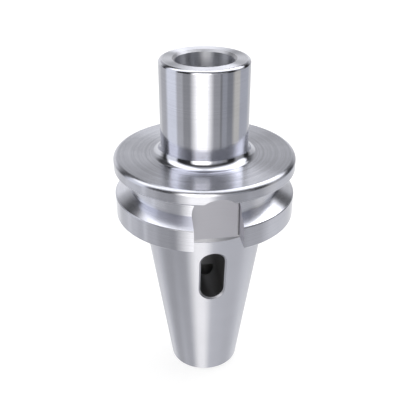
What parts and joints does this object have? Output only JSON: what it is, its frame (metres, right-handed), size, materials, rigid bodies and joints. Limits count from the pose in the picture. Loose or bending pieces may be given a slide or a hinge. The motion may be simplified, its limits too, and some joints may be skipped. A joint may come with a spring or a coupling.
{
  "type": "morse taper holder",
  "caption": "One-piece steel holder with a cone shank, a grooved flange with key slots, a round nose with a Morse taper socket, and a drift slot through the cone.",
  "frame": {"origin": "centre of the small end face, on the axis of the cone", "axes": "+Z along the axis from the small end to the nose face; the two key slots and the drift slot open towards -Y and +Y"},
  "size_m": [0.1, 0.1, 0.1918],
  "materials": {
    "steel": "hardened steel, turned flange faces, ground cone and nose, milled slots"
  },
  "bodies": {
    "root": {"holder_body": "steel"}
  },
  "joints": []
}
